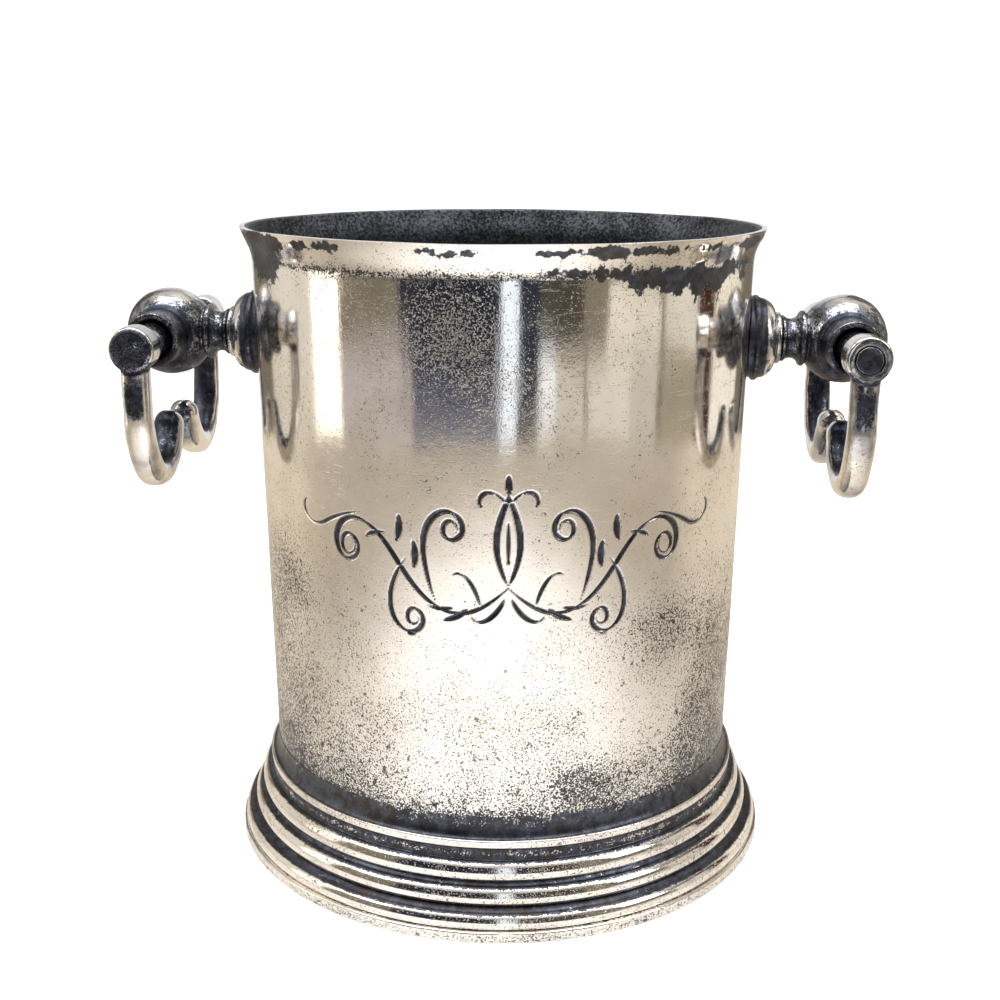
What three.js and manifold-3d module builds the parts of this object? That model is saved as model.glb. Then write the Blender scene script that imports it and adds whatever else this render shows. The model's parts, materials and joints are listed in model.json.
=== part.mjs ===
// A champagne bucket: a tapered bucket on a reeded foot, with two drop loops hung on a pin from a
// ball-ended post on each side. Millimetres, +Z up. The origin is the centre of the base, and the
// posts point along +X and -X.

import * as THREE from "three";
import { mergeVertices } from "three/addons/utils/BufferGeometryUtils.js";
import Module from "manifold-3d";

const manifold = await Module();
manifold.setup();

// Driving dimensions of the bucket
const HEIGHT = 230;
const GAP = 0.3; // left between two pieces that touch
const ROUND_SIDES = 48; // sides of the large turned pieces

const WALL_BASE_Z = 39; // where the wall comes out of the foot
const WALL_BASE_R = 87.1;
const LIP_Z = 219; // where the wall starts to flare
const LIP_R = 90.2;
const RIM_R = 94.1;
const WALL_THICKNESS = 1.8;
const RIM_THICKNESS = 3.1;
const LIP_CURVE = 1.15; // exponent of the flare
const LIP_STEPS = 5;

// Driving dimensions of the foot
const SEAT_Z = 33; // the ledge that carries the wall and the floor
const SEAT_INNER_R = 79;
const FOOT_LIP_R = 101.9;
const FOOT_LIP_Z = 4;
const LEDGE_R = 90.4;
const LEDGE_Z = 31.6;
const LEDGE_HEIGHT = 2.7;
const FOOT_INNER_R = 95.5;
const BEADS = [
  { z: 6.6, radius: 2.6, reach: 101 },
  { z: 13.6, radius: 3.1, reach: 97 },
  { z: 21.3, radius: 3.3, reach: 94 },
];
const BEAD_STEPS = 5;

// Driving dimensions of the floor
const FLOOR_THICKNESS = 2;
const FLOOR_CROWN = 1.6; // rise of the middle
const FLOOR_CROWN_R = 62;

// Driving dimensions of the posts
const PIVOT_X = 124; // middle of the ball, where the pin runs
const PIVOT_Z = 189.5;
const BALL_R = 16;
const BALL_STEPS = 8;
const HUB_R = 9.7;
const HUB_REACH = 25.5;
const HUB_MOUTH_R = 8.5;
const HUB_MOUTH_DEPTH = 3;
const PIN_BORE_R = 6.6;
const COLLAR_R = 9.7;
const NECK_R = 7.4;
const NECK_X = 105;
const ROSETTE_R = 15.5;
const ROSETTE_FRONT_X = 101.2;
const ROSETTE_RING_R = 9.4;
const SPIGOT_R = 5;
const SPIGOT_X = 90.4;
const POST_SIDES = 20;

// Driving dimensions of the pin and the loops
const PIN_R = 6.2;
const PIN_END_R = 4.5;
const LIMB_Y = 45;
const ROD_R = 5.4;
const ROD_SIDES = 8;
const BOSS_R = 7.9;
const BOSS_HALF_WIDTH = 5.5;
const LIMB_STRAIGHT = 22; // straight length of a limb below the pin
const LOOP_DROP = 47.8; // pin to the rod's centre line at the bottom of a loop
const LOOP_INNER_Y = 7.8; // where the loop's oval would close towards the middle
const TIP_DROP = 33.5; // pin to the middle of the rounded tip

// Driving dimensions of the fixings inside the wall
const BOLT_R = 2.8;
const BOLT_TIP_X = 100;
const BOLT_HEAD_R = 5.8;
const BOLT_HEAD_LENGTH = 4;
const THREAD_R = 3.1;
const WALL_HOLE_R = 3.4;
const WASHER_R = 7.5;
const WASHER_THICKNESS = 1.2;
const SEAL_R = 8;
const SEAL_THICKNESS = 1.8;
const FIXING_SIDES = 16;

const SILVER = { color: 0xcfcac2, roughness: 0.18, metalness: 1 };
const DARK_SILVER = { color: 0x8f8a84, roughness: 0.32, metalness: 1 };
const STEEL = { color: 0xb4b7ba, roughness: 0.3, metalness: 1 };
const RUBBER = { color: 0x222222, roughness: 0.8, metalness: 0 };

// Turns a closed three.js geometry into a manifold solid.
function solidOf(geometry) {
  const plain = geometry.clone();
  plain.deleteAttribute("normal");
  plain.deleteAttribute("uv");
  const merged = mergeVertices(plain, 1e-4);
  const index = merged.index.array;
  const triangles = [];
  for (let i = 0; i < index.length; i += 3) {
    const [a, b, c] = [index[i], index[i + 1], index[i + 2]];
    if (a !== b && b !== c && c !== a) triangles.push(a, b, c);
  }
  return new manifold.Manifold(new manifold.Mesh({
    numProp: 3,
    vertProperties: merged.attributes.position.array,
    triVerts: new Uint32Array(triangles),
  }));
}

function meshOf(name, solid, look) {
  const { vertProperties, triVerts } = solid.getMesh();
  const geometry = new THREE.BufferGeometry();
  geometry.setAttribute("position", new THREE.BufferAttribute(vertProperties, 3));
  geometry.setIndex(new THREE.BufferAttribute(triVerts, 1));
  geometry.computeVertexNormals();
  const mesh = new THREE.Mesh(geometry, new THREE.MeshStandardMaterial(look));
  mesh.name = name;
  return mesh;
}

// A profile is a list of [radius, distance along the axis], anticlockwise with the radius to the
// right. It starts and ends on the axis, or is closed here when it stays clear of it.
function latheOf(profile, sides) {
  const points = profile.map(([radius, along]) => new THREE.Vector2(radius, along));
  const [first, last] = [points[0], points[points.length - 1]];
  if (first.x > 0 || last.x > 0) points.push(first.clone());
  return new THREE.LatheGeometry(points, sides);
}

function turnedAboutZ(profile, sides) {
  return solidOf(latheOf(profile, sides).rotateX(Math.PI / 2));
}

function turnedAboutX(profile, sides) {
  return solidOf(latheOf(profile, sides).rotateZ(-Math.PI / 2));
}

function turnedAboutY(profile, sides) {
  return solidOf(latheOf(profile, sides));
}

// A plain round bar, as a profile between two places on its axis.
function bar(radius, from, to) {
  return [[0, from], [radius, from], [radius, to], [0, to]];
}

// Bucket

function wallRadius(z) {
  return THREE.MathUtils.mapLinear(z, WALL_BASE_Z, LIP_Z, WALL_BASE_R, LIP_R);
}

// The flared lip from the wall up to the rim, set in from the outside by the wall's thickness.
function lipOutline(insetAtWall, insetAtRim) {
  const points = [];
  for (let i = 0; i <= LIP_STEPS; i += 1) {
    const t = i / LIP_STEPS;
    const outside = LIP_R + (RIM_R - LIP_R) * t ** LIP_CURVE;
    const inset = THREE.MathUtils.lerp(insetAtWall, insetAtRim, t);
    points.push([outside - inset, THREE.MathUtils.lerp(LIP_Z, HEIGHT, t)]);
  }
  return points;
}

// A solid that fills the wall's round stretch behind the posts, out to an offset from its outside.
function wallCore(offset) {
  const low = PIVOT_Z - 2 * ROSETTE_R;
  return turnedAboutZ([
    [0, low],
    [wallRadius(low) + offset, low],
    [LIP_R + offset, LIP_Z],
    [0, LIP_Z],
  ], ROUND_SIDES);
}

function bucketWall() {
  const bottom = SEAT_Z + GAP;
  const shell = turnedAboutZ([
    [wallRadius(bottom), bottom],
    ...lipOutline(0, 0),
    ...lipOutline(WALL_THICKNESS, RIM_THICKNESS).reverse(),
    [wallRadius(bottom) - WALL_THICKNESS, bottom],
  ], ROUND_SIDES);
  const holes = turnedAboutX(bar(WALL_HOLE_R, -RIM_R, RIM_R), FIXING_SIDES).translate([0, 0, PIVOT_Z]);
  return shell.subtract(holes);
}

function floorPlate() {
  const bottom = SEAT_Z + GAP;
  const radius = wallRadius(bottom) - WALL_THICKNESS - GAP;
  const shoulder = FLOOR_CROWN_R + 4 * FLOOR_CROWN;
  const under = [
    [0, bottom + FLOOR_CROWN],
    [FLOOR_CROWN_R, bottom + FLOOR_CROWN],
    [shoulder, bottom],
    [radius, bottom],
  ];
  const top = under.map(([r, z]) => [r, z + FLOOR_THICKNESS]).reverse();
  return turnedAboutZ([...under, ...top], ROUND_SIDES);
}

// One half-round reed of the foot, from its underside to its top.
function beadOutline({ z, radius, reach }) {
  const points = [];
  for (let i = 0; i <= BEAD_STEPS; i += 1) {
    const angle = Math.PI * (i / BEAD_STEPS - 0.5);
    points.push([reach - radius + radius * Math.cos(angle), z + radius * Math.sin(angle)]);
  }
  return points;
}

function footRing() {
  const wallTop = wallRadius(WALL_BASE_Z) + GAP;
  const topBead = BEADS[BEADS.length - 1];
  const grooveR = topBead.reach - topBead.radius - 1;
  return turnedAboutZ([
    [FOOT_INNER_R, 0],
    [FOOT_LIP_R - 0.8, 0],
    [FOOT_LIP_R, 0.8],
    [FOOT_LIP_R, FOOT_LIP_Z - 0.4],
    ...BEADS.flatMap(beadOutline),
    [grooveR, LEDGE_Z - LEDGE_HEIGHT - 1],
    [LEDGE_R, LEDGE_Z - LEDGE_HEIGHT],
    [LEDGE_R, LEDGE_Z - 0.4],
    [LEDGE_R - 0.5, LEDGE_Z],
    [wallTop + 1.1, LEDGE_Z + 3],
    [wallTop + 0.3, WALL_BASE_Z],
    [wallTop, WALL_BASE_Z],
    [wallTop, SEAT_Z],
    [SEAT_INNER_R, SEAT_Z],
    [SEAT_INNER_R, SEAT_Z - 3.5],
    [SEAT_INNER_R + 6.5, SEAT_Z - 5.5],
    [BEADS[1].reach - 8, BEADS[1].z],
  ], ROUND_SIDES);
}

// Posts

function rosette() {
  const rimX = 92.2;
  const dome = new THREE.SplineCurve([
    new THREE.Vector2(ROSETTE_R - 0.3, rimX + 0.9),
    new THREE.Vector2(ROSETTE_R - 1.1, rimX + 3),
    new THREE.Vector2(ROSETTE_R - 2.8, rimX + 5),
    new THREE.Vector2(ROSETTE_RING_R + 1, rimX + 6.9),
  ]).getPoints(6).map((point) => [point.x, point.y]);
  const boreR = SPIGOT_R + GAP;
  const turned = turnedAboutX([
    [boreR, WALL_BASE_R],
    [ROSETTE_R - 1.3, WALL_BASE_R],
    [ROSETTE_R - 1.3, rimX - 1.2],
    [ROSETTE_R, rimX],
    ...dome,
    [ROSETTE_RING_R, rimX + 7.1],
    [ROSETTE_RING_R, ROSETTE_FRONT_X - 0.3],
    [ROSETTE_RING_R - 0.3, ROSETTE_FRONT_X],
    [boreR, ROSETTE_FRONT_X],
  ], POST_SIDES).translate([0, 0, PIVOT_Z]);
  return turned.subtract(wallCore(GAP));
}

// The ball's outline, from where it leaves the collar round to its outer pole.
function ballOutline() {
  const points = [];
  const start = Math.asin((COLLAR_R - 0.5) / BALL_R);
  for (let i = 0; i <= BALL_STEPS; i += 1) {
    const angle = THREE.MathUtils.lerp(start, Math.PI, i / BALL_STEPS);
    const radius = i === BALL_STEPS ? 0 : BALL_R * Math.sin(angle);
    points.push([radius, PIVOT_X - BALL_R * Math.cos(angle)]);
  }
  return points;
}

function knuckle() {
  const shoulderX = ROSETTE_FRONT_X + GAP;
  const neck = new THREE.SplineCurve([
    new THREE.Vector2(NECK_R + 1, shoulderX + 0.8),
    new THREE.Vector2(NECK_R, NECK_X),
    new THREE.Vector2(NECK_R + 0.7, NECK_X + 2.5),
    new THREE.Vector2(COLLAR_R - 0.7, NECK_X + 4.4),
  ]).getPoints(6).map((point) => [point.x, point.y]);
  const post = turnedAboutX([
    [0, SPIGOT_X],
    [SPIGOT_R, SPIGOT_X],
    [SPIGOT_R, shoulderX],
    [NECK_R + 1, shoulderX],
    ...neck,
    [COLLAR_R, NECK_X + 4.7],
    [COLLAR_R, NECK_X + 5.5],
    ...ballOutline(),
  ], POST_SIDES);
  const hubs = turnedAboutY([
    [0, -HUB_REACH],
    [HUB_R - 0.4, -HUB_REACH],
    [HUB_R, -HUB_REACH + 0.6],
    [HUB_R, HUB_REACH - 0.6],
    [HUB_R - 0.4, HUB_REACH],
    [0, HUB_REACH],
  ], POST_SIDES);
  const bore = turnedAboutY([
    [0, -HUB_REACH - 1],
    [HUB_MOUTH_R, -HUB_REACH - 1],
    [HUB_MOUTH_R, -HUB_REACH],
    [PIN_BORE_R, -HUB_REACH + HUB_MOUTH_DEPTH],
    [PIN_BORE_R, HUB_REACH - HUB_MOUTH_DEPTH],
    [HUB_MOUTH_R, HUB_REACH],
    [HUB_MOUTH_R, HUB_REACH + 1],
    [0, HUB_REACH + 1],
  ], POST_SIDES);
  const thread = turnedAboutX(bar(THREAD_R, SPIGOT_X - 1, BOLT_TIP_X + 1), FIXING_SIDES);
  return post
    .add(hubs.translate([PIVOT_X, 0, 0]))
    .subtract(bore.translate([PIVOT_X, 0, 0]))
    .subtract(thread)
    .translate([0, 0, PIVOT_Z]);
}

// The pin runs in the knuckle, and its thinner ends are riveted into the loops' bosses.
function pivotPin() {
  const shoulder = LIMB_Y - BOSS_HALF_WIDTH - GAP;
  const end = LIMB_Y + BOSS_HALF_WIDTH;
  return turnedAboutY([
    [0, -end],
    [PIN_END_R, -end],
    [PIN_END_R, -shoulder],
    [PIN_R, -shoulder],
    [PIN_R, shoulder],
    [PIN_END_R, shoulder],
    [PIN_END_R, end],
    [0, end],
  ], POST_SIDES).translate([PIVOT_X, 0, PIVOT_Z]);
}

// The rod's centre line: down the limb, round the oval bottom and up to the rounded tip.
function loopPath(facing) {
  const middleY = (LIMB_Y + LOOP_INNER_Y) / 2;
  const halfWidth = (LIMB_Y - LOOP_INNER_Y) / 2;
  const ovalDrop = LOOP_DROP - LIMB_STRAIGHT;
  const tipAngle = Math.PI - Math.asin((TIP_DROP - LIMB_STRAIGHT) / ovalDrop);
  const points = [];
  for (const drop of [BOSS_R - 3, 10, 16]) {
    points.push(new THREE.Vector3(PIVOT_X, facing * LIMB_Y, PIVOT_Z - drop));
  }
  const ovalSteps = 12;
  for (let i = 0; i <= ovalSteps; i += 1) {
    const angle = (tipAngle * i) / ovalSteps;
    const y = middleY + halfWidth * Math.cos(angle);
    const drop = LIMB_STRAIGHT + ovalDrop * Math.sin(angle);
    points.push(new THREE.Vector3(PIVOT_X, facing * y, PIVOT_Z - drop));
  }
  return points;
}

// One drop loop; facing is -1 for the front of the pin and +1 for the rear.
function dropLoop(facing) {
  const path = loopPath(facing);
  const corners = [];
  for (let i = 0; i < ROD_SIDES; i += 1) {
    const angle = (2 * Math.PI * i) / ROD_SIDES;
    corners.push(new THREE.Vector2(ROD_R * Math.cos(angle), ROD_R * Math.sin(angle)));
  }
  const rod = new THREE.ExtrudeGeometry(new THREE.Shape(corners), {
    steps: 18,
    extrudePath: new THREE.CatmullRomCurve3(path, false, "centripetal"),
  });
  const end = path[path.length - 1];
  const tip = new THREE.SphereGeometry(ROD_R, ROD_SIDES, 6).translate(end.x, end.y, end.z);
  const from = facing * LIMB_Y - BOSS_HALF_WIDTH;
  const to = facing * LIMB_Y + BOSS_HALF_WIDTH;
  const boss = turnedAboutY([
    [0, from],
    [BOSS_R - 0.6, from],
    [BOSS_R, from + 0.6],
    [BOSS_R, to - 0.6],
    [BOSS_R - 0.6, to],
    [0, to],
  ], POST_SIDES).translate([PIVOT_X, 0, PIVOT_Z]);
  const eye = turnedAboutY(bar(PIN_END_R + GAP, from - 1, to + 1), POST_SIDES)
    .translate([PIVOT_X, 0, PIVOT_Z]);
  return solidOf(rod).add(solidOf(tip)).add(boss).subtract(eye);
}

// Fixings inside the wall. Each starts where the one before it ends, working inwards.

function sealOuterX() {
  return wallRadius(PIVOT_Z) - WALL_THICKNESS - GAP;
}

function washerOuterX() {
  return sealOuterX() - SEAL_THICKNESS - GAP;
}

function headOuterX() {
  return washerOuterX() - WASHER_THICKNESS - GAP;
}

function ring(radius, from, to) {
  const hole = BOLT_R + GAP;
  return turnedAboutX([[hole, from], [radius, from], [radius, to], [hole, to]], FIXING_SIDES)
    .translate([0, 0, PIVOT_Z]);
}

function sealingWasher() {
  const blank = ring(SEAL_R, sealOuterX() - SEAL_THICKNESS, sealOuterX() + 2);
  return blank.intersect(wallCore(-WALL_THICKNESS - GAP));
}

function washer() {
  return ring(WASHER_R, washerOuterX() - WASHER_THICKNESS, washerOuterX());
}

function fixingBolt() {
  const head = turnedAboutX(bar(BOLT_HEAD_R, headOuterX() - BOLT_HEAD_LENGTH, headOuterX()), 6);
  const shank = turnedAboutX(bar(BOLT_R, headOuterX() - 1, BOLT_TIP_X), FIXING_SIDES);
  return head.add(shank).translate([0, 0, PIVOT_Z]);
}

function sideFittings(side) {
  const group = new THREE.Group();
  group.add(
    meshOf(`${side}_rosette`, rosette(), DARK_SILVER),
    meshOf(`${side}_knuckle`, knuckle(), SILVER),
    meshOf(`${side}_pivot_pin`, pivotPin(), DARK_SILVER),
    meshOf(`${side}_sealing_washer`, sealingWasher(), RUBBER),
    meshOf(`${side}_washer`, washer(), STEEL),
    meshOf(`${side}_fixing_bolt`, fixingBolt(), STEEL),
  );
  // The left side is the right side turned half round, so its front loop is built as the rear one.
  const frontFacing = side === "right" ? -1 : 1;
  group.add(
    meshOf(`${side}_front_loop`, dropLoop(frontFacing), SILVER),
    meshOf(`${side}_rear_loop`, dropLoop(-frontFacing), SILVER),
  );
  group.rotation.z = side === "right" ? 0 : Math.PI;
  return group;
}

const bucket = new THREE.Group();
bucket.add(
  meshOf("bucket_wall", bucketWall(), SILVER),
  meshOf("floor_plate", floorPlate(), SILVER),
  meshOf("foot_ring", footRing(), DARK_SILVER),
  sideFittings("left"),
  sideFittings("right"),
);

export default bucket;
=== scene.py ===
"""A silver champagne bucket with swinging drop loops: its fine surfaces, materials and studio."""
import json
import math

import bpy
import numpy as np
from mathutils import Matrix, Vector, kdtree, noise


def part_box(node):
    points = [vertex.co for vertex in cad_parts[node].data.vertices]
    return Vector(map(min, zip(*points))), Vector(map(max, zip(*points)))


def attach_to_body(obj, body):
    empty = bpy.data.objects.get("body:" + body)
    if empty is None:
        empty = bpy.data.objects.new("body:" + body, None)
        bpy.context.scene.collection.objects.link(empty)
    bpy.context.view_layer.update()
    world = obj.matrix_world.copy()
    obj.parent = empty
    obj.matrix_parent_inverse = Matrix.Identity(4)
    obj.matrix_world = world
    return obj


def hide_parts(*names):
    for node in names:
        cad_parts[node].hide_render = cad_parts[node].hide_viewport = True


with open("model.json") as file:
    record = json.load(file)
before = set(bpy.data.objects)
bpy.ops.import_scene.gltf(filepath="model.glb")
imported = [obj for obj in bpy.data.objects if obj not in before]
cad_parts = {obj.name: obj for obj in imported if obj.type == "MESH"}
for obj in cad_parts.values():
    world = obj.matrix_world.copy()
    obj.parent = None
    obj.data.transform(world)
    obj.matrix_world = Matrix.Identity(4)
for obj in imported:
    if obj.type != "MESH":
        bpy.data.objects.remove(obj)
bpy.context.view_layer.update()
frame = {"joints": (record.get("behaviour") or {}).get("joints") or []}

MM = 0.001

# Sizes taken from the frame, in millimetres
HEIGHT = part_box("bucket_wall")[1].z / MM
SEAT_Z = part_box("bucket_wall")[0].z / MM
RIM_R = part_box("bucket_wall")[1].x / MM
FOOT_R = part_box("foot_ring")[1].x / MM
FOOT_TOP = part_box("foot_ring")[1].z / MM
BALL_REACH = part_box("right_knuckle")[1].x / MM
HUB_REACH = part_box("right_knuckle")[1].y / MM
BOSS_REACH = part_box("right_rear_loop")[1].y / MM
LOOP_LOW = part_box("right_rear_loop")[0].z / MM
PIVOT = Vector(next(j for j in frame["joints"] if j["child"] == "right_handle")["pos_m"]) / MM

# Sizes of the wall that its box does not give, in millimetres
WALL_BASE_R = RIM_R - 7.0
LIP_R = RIM_R - 3.9
LIP_Z = HEIGHT - 11
WALL_THICKNESS = 1.8
RIM_THICKNESS = 3.1


def smooth(t):
    """Eases 0 to 1, and holds both ends."""
    t = np.clip(t, 0, 1)
    return t * t * (3 - 2 * t)


# ---- mesh building

def add_mesh(name, verts, faces):
    """Makes a smooth-shaded mesh object from points in millimetres."""
    mesh = bpy.data.meshes.new(name)
    mesh.from_pydata((np.asarray(verts) * MM).tolist(), [], faces)
    mesh.polygons.foreach_set("use_smooth", [True] * len(mesh.polygons))
    piece = bpy.data.objects.new(name, mesh)
    bpy.context.scene.collection.objects.link(piece)
    return piece


def mark(piece, name, values):
    """Stores one number per point, or one for all, for the materials to read."""
    layer = piece.data.attributes.new(name, "FLOAT", "POINT")
    values = np.ravel(np.asarray(values, np.float32))
    layer.data.foreach_set("value", np.broadcast_to(values, len(layer.data)).copy())


def points_of(piece):
    """A piece's points, in millimetres."""
    return np.array([v.co for v in piece.data.vertices]) / MM


def set_points(piece, points):
    """Moves a piece's points to new places, in millimetres."""
    piece.data.vertices.foreach_set("co", (points * MM).ravel())


def full_turn(columns):
    """Angles once round, one for each column."""
    return np.linspace(0, 2 * np.pi, columns, endpoint=False)


def all_round(values, columns):
    """Repeats one value per outline point round every column of a revolved piece."""
    return np.repeat(np.asarray(values)[:, None], columns, axis=1)


def round_corners(points, radii, steps=5):
    """A closed outline with each corner rounded by its own radius; 0 leaves it sharp."""
    out = []
    count = len(points)
    for i, (corner, radius) in enumerate(zip(points, radii)):
        p = np.array(corner, float)
        before = np.array(points[i - 1], float) - p
        after = np.array(points[(i + 1) % count], float) - p
        if radius == 0:
            out.append(p)
            continue
        reach = min(radius, 0.45 * np.linalg.norm(before), 0.45 * np.linalg.norm(after))
        a = p + before / np.linalg.norm(before) * reach
        b = p + after / np.linalg.norm(after) * reach
        for k in range(steps + 1):
            t = k / steps
            out.append((1 - t) ** 2 * a + 2 * t * (1 - t) * p + t * t * b)
    return np.array(out)


def even(points, step, closed=True):
    """Adds points along an outline so that none is further than step from the next."""
    out = []
    count = len(points)
    for i in range(count if closed else count - 1):
        a, b = points[i], points[(i + 1) % count]
        parts = max(1, int(math.ceil(np.linalg.norm(b - a) / step)))
        for k in range(parts):
            out.append(a + (b - a) * k / parts)
    if not closed:
        out.append(points[-1])
    return np.array(out)


def ring_faces(rows, columns, close_rows):
    """Quads that join a grid of points which closes round its columns."""
    faces = []
    for i in range(rows if close_rows else rows - 1):
        j = (i + 1) % rows
        for k in range(columns):
            m = (k + 1) % columns
            faces.append((i * columns + k, i * columns + m, j * columns + m, j * columns + k))
    return faces


def revolve(name, outline, angles, bend=None):
    """Turns a closed outline of (radius, height) about Z. Angles run anticlockwise from +X.

    bend(angle, radius, height) may return changed radii and heights."""
    radius = all_round(outline[:, 0], len(angles))
    height = all_round(outline[:, 1], len(angles))
    turn = np.repeat(np.array(angles)[None, :], len(outline), axis=0)
    if bend:
        radius, height = bend(turn, radius, height)
    verts = np.stack([radius * np.cos(turn), radius * np.sin(turn), height], -1).reshape(-1, 3)
    return add_mesh(name, verts, ring_faces(len(outline), len(angles), True))


def add_tube(name, rings, columns, start, end):
    """Makes a piece from rings of points, closed by fans to a start and an end point."""
    faces = ring_faces(len(rings) // columns, columns, False)
    first, last = len(rings), len(rings) + 1
    base = len(rings) - columns
    for k in range(columns):
        m = (k + 1) % columns
        faces.append((first, m, k))
        faces.append((last, base + k, base + m))
    return add_mesh(name, rings + [start, end], faces)


def revolve_capped(name, outline, step, columns):
    """Turns an open outline of (radius, height) that starts and ends on the axis."""
    outline = even(outline, step, closed=False)
    inner = outline[1:-1]
    turn = full_turn(columns)
    x = inner[:, :1] * np.cos(turn)
    y = inner[:, :1] * np.sin(turn)
    rings = np.stack([x, y, all_round(inner[:, 1], columns)], -1).reshape(-1, 3).tolist()
    return add_tube(name, rings, columns, [0, 0, outline[0][1]], [0, 0, outline[-1][1]])


def place(piece, turn, offset=(0, 0, 0)):
    """Turns a piece's mesh and moves it, in millimetres, leaving the object at the origin."""
    piece.data.transform(Matrix.Translation(Vector(offset) * MM) @ turn.to_4x4())
    return piece


ALONG_X = Matrix.Rotation(math.pi / 2, 3, "Y")
ALONG_Y = Matrix.Rotation(-math.pi / 2, 3, "X")
HALF_TURN = Matrix.Rotation(math.pi, 3, "Z")
STILL = Matrix.Identity(3)


def on_post(piece, turn=STILL):
    """Lays a piece built along Z on the post's axis, then turns it to its own side."""
    place(piece, ALONG_X, (0, 0, PIVOT.z))
    return place(piece, turn)


def across(name, outline, step, columns, middle=PIVOT):
    """Revolves an open outline about the line through middle that runs along Y."""
    return place(revolve_capped(name, outline, step, columns), ALONG_Y, middle)


def apply_modifiers(piece):
    """Turns a piece's modifiers into real geometry."""
    graph = bpy.context.evaluated_depsgraph_get()
    made = bpy.data.meshes.new_from_object(piece.evaluated_get(graph))
    piece.modifiers.clear()
    piece.data = made
    made.polygons.foreach_set("use_smooth", [True] * len(made.polygons))
    return piece


def combine(piece, other, operation):
    """Joins another piece to this one, or cuts it away, and removes the other."""
    cut = piece.modifiers.new(operation, "BOOLEAN")
    cut.operation = operation
    cut.solver = "EXACT"
    cut.object = other
    bpy.context.view_layer.update()
    apply_modifiers(piece)
    bpy.data.objects.remove(other)
    return piece


def blend_surface(piece, voxel, rounds):
    """Remeshes joined shapes into one even skin and softens the creases, as a casting has."""
    skin = piece.modifiers.new("skin", "REMESH")
    skin.mode = "VOXEL"
    skin.voxel_size = voxel * MM
    soft = piece.modifiers.new("soft", "SMOOTH")
    soft.factor = 0.5
    soft.iterations = rounds
    return apply_modifiers(piece)


def roughen(piece, height, size, seed):
    """Moves the surface in and out along its normals by a soft noise, in millimetres."""
    mesh = piece.data
    count = len(mesh.vertices)
    place_of = np.zeros(count * 3)
    mesh.vertices.foreach_get("co", place_of)
    place_of = place_of.reshape(-1, 3)
    normals = np.zeros(count * 3, np.float32)
    mesh.vertex_normals.foreach_get("vector", normals)
    normals = normals.reshape(-1, 3)
    shift = Vector((seed * 7.3, seed * 3.1, seed * 5.7))
    scale = 1 / (size * MM)
    amount = np.array([noise.noise(Vector(p) * scale + shift) for p in place_of])
    mesh.vertices.foreach_set("co", (place_of + normals * amount[:, None] * height * MM).ravel())
    mesh.update()
    return piece


# ---- the engraved flourish

def pen(start, heading, stretches, step=0.2):
    """A pen stroke drawn from a start point and heading, in degrees, through stretches of
    (length, curvature at its start, curvature at its end). Returns points and headings."""
    x, y = start
    angle = math.radians(heading)
    points, angles = [(x, y)], [angle]
    for length, bend_from, bend_to in stretches:
        count = max(2, int(length / step))
        for i in range(count):
            angle += (bend_from + (bend_to - bend_from) * (i + 0.5) / count) * length / count
            x += math.cos(angle) * length / count
            y += math.sin(angle) * length / count
            points.append((x, y))
            angles.append(angle)
    return np.array(points), np.array(angles)


NIB_ANGLE = math.radians(20)
LINE_WEIGHT = 0.6  # half width of a line that is drawn 1 wide
FLOURISH_HEIGHTEN = 1.18
# One half of a scroll ornament with leaves, no lettering: start, heading, stretches, thin, thick
STROKES = (
    ((0, -9), -38, [(18, 0.0, 0.07), (26, 0.07, 0.0), (22, 0.0, -0.10), (46, -0.10, -0.42)],
     0.6, 2.4),
    ((24, -13.2), 66, [(12, 0.02, 0.02), (14, 0.04, 0.12), (30, 0.12, 0.48)], 0.5, 2.1),
    ((34, -2), -50, [(10, -0.02, -0.05), (14, -0.07, -0.14), (24, -0.14, -0.55)], 0.5, 1.9),
    ((51, 9.2), -8, [(16, -0.02, -0.02), (10, 0.06, 0.16), (7, 0.16, 0.6)], 0.4, 1.6),
    ((0, -8.5), 60, [(13, 0.02, 0.06), (15, 0.06, 0.0)], 0.5, 2.0),
    ((0, -3), 90, [(13, 0.0, 0.0)], 0.3, 1.2),
    ((0.8, 15), 48, [(6, -0.05, -0.20), (7, -0.20, -0.60)], 0.4, 1.4),
    ((1, -12), -62, [(8, 0.03, 0.10), (7, 0.10, 0.40)], 0.3, 1.7),
    ((9, -14.2), 72, [(8, -0.02, -0.08), (6, -0.10, -0.34)], 0.3, 1.6),
    ((13, -15.4), -35, [(9, 0.03, 0.08)], 0.3, 2.6),
    ((18, -15.2), -12, [(9, 0.04, 0.10)], 0.3, 2.6),
    ((31, -4.5), 100, [(8, -0.03, -0.10)], 0.3, 2.4),
    ((37, 2.5), 108, [(8, -0.03, -0.10)], 0.3, 2.4),
    ((41, 4.5), 2, [(8, -0.05, -0.10)], 0.3, 2.4),
    ((0, 17.5), 90, [(5, 0.0, 0.0)], 0.6, 2.2),
)


def flourish():
    """Centre points and half widths of the ornament's strokes, in millimetres along the wall
    from the ornament's middle. Strokes swell where they cross the nib, as a pen's do."""
    places, halves = [], []
    for start, heading, stretches, thin, thick in STROKES:
        points, angles = pen(start, heading, stretches)
        along = np.linspace(0, 1, len(points))
        ends = np.clip(np.minimum(along / 0.12, (1 - along) / 0.10), 0.15, 1) ** 0.7
        swell = 0.35 + 0.65 * np.sin(np.pi * along) ** 1.2
        width = thin + (thick - thin) * np.abs(np.sin(angles - NIB_ANGLE)) * swell
        for mirror in (1, -1):
            places.append(points * (mirror, FLOURISH_HEIGHTEN))
            halves.append(width * ends * LINE_WEIGHT)
    return np.concatenate(places), np.concatenate(halves)


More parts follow.
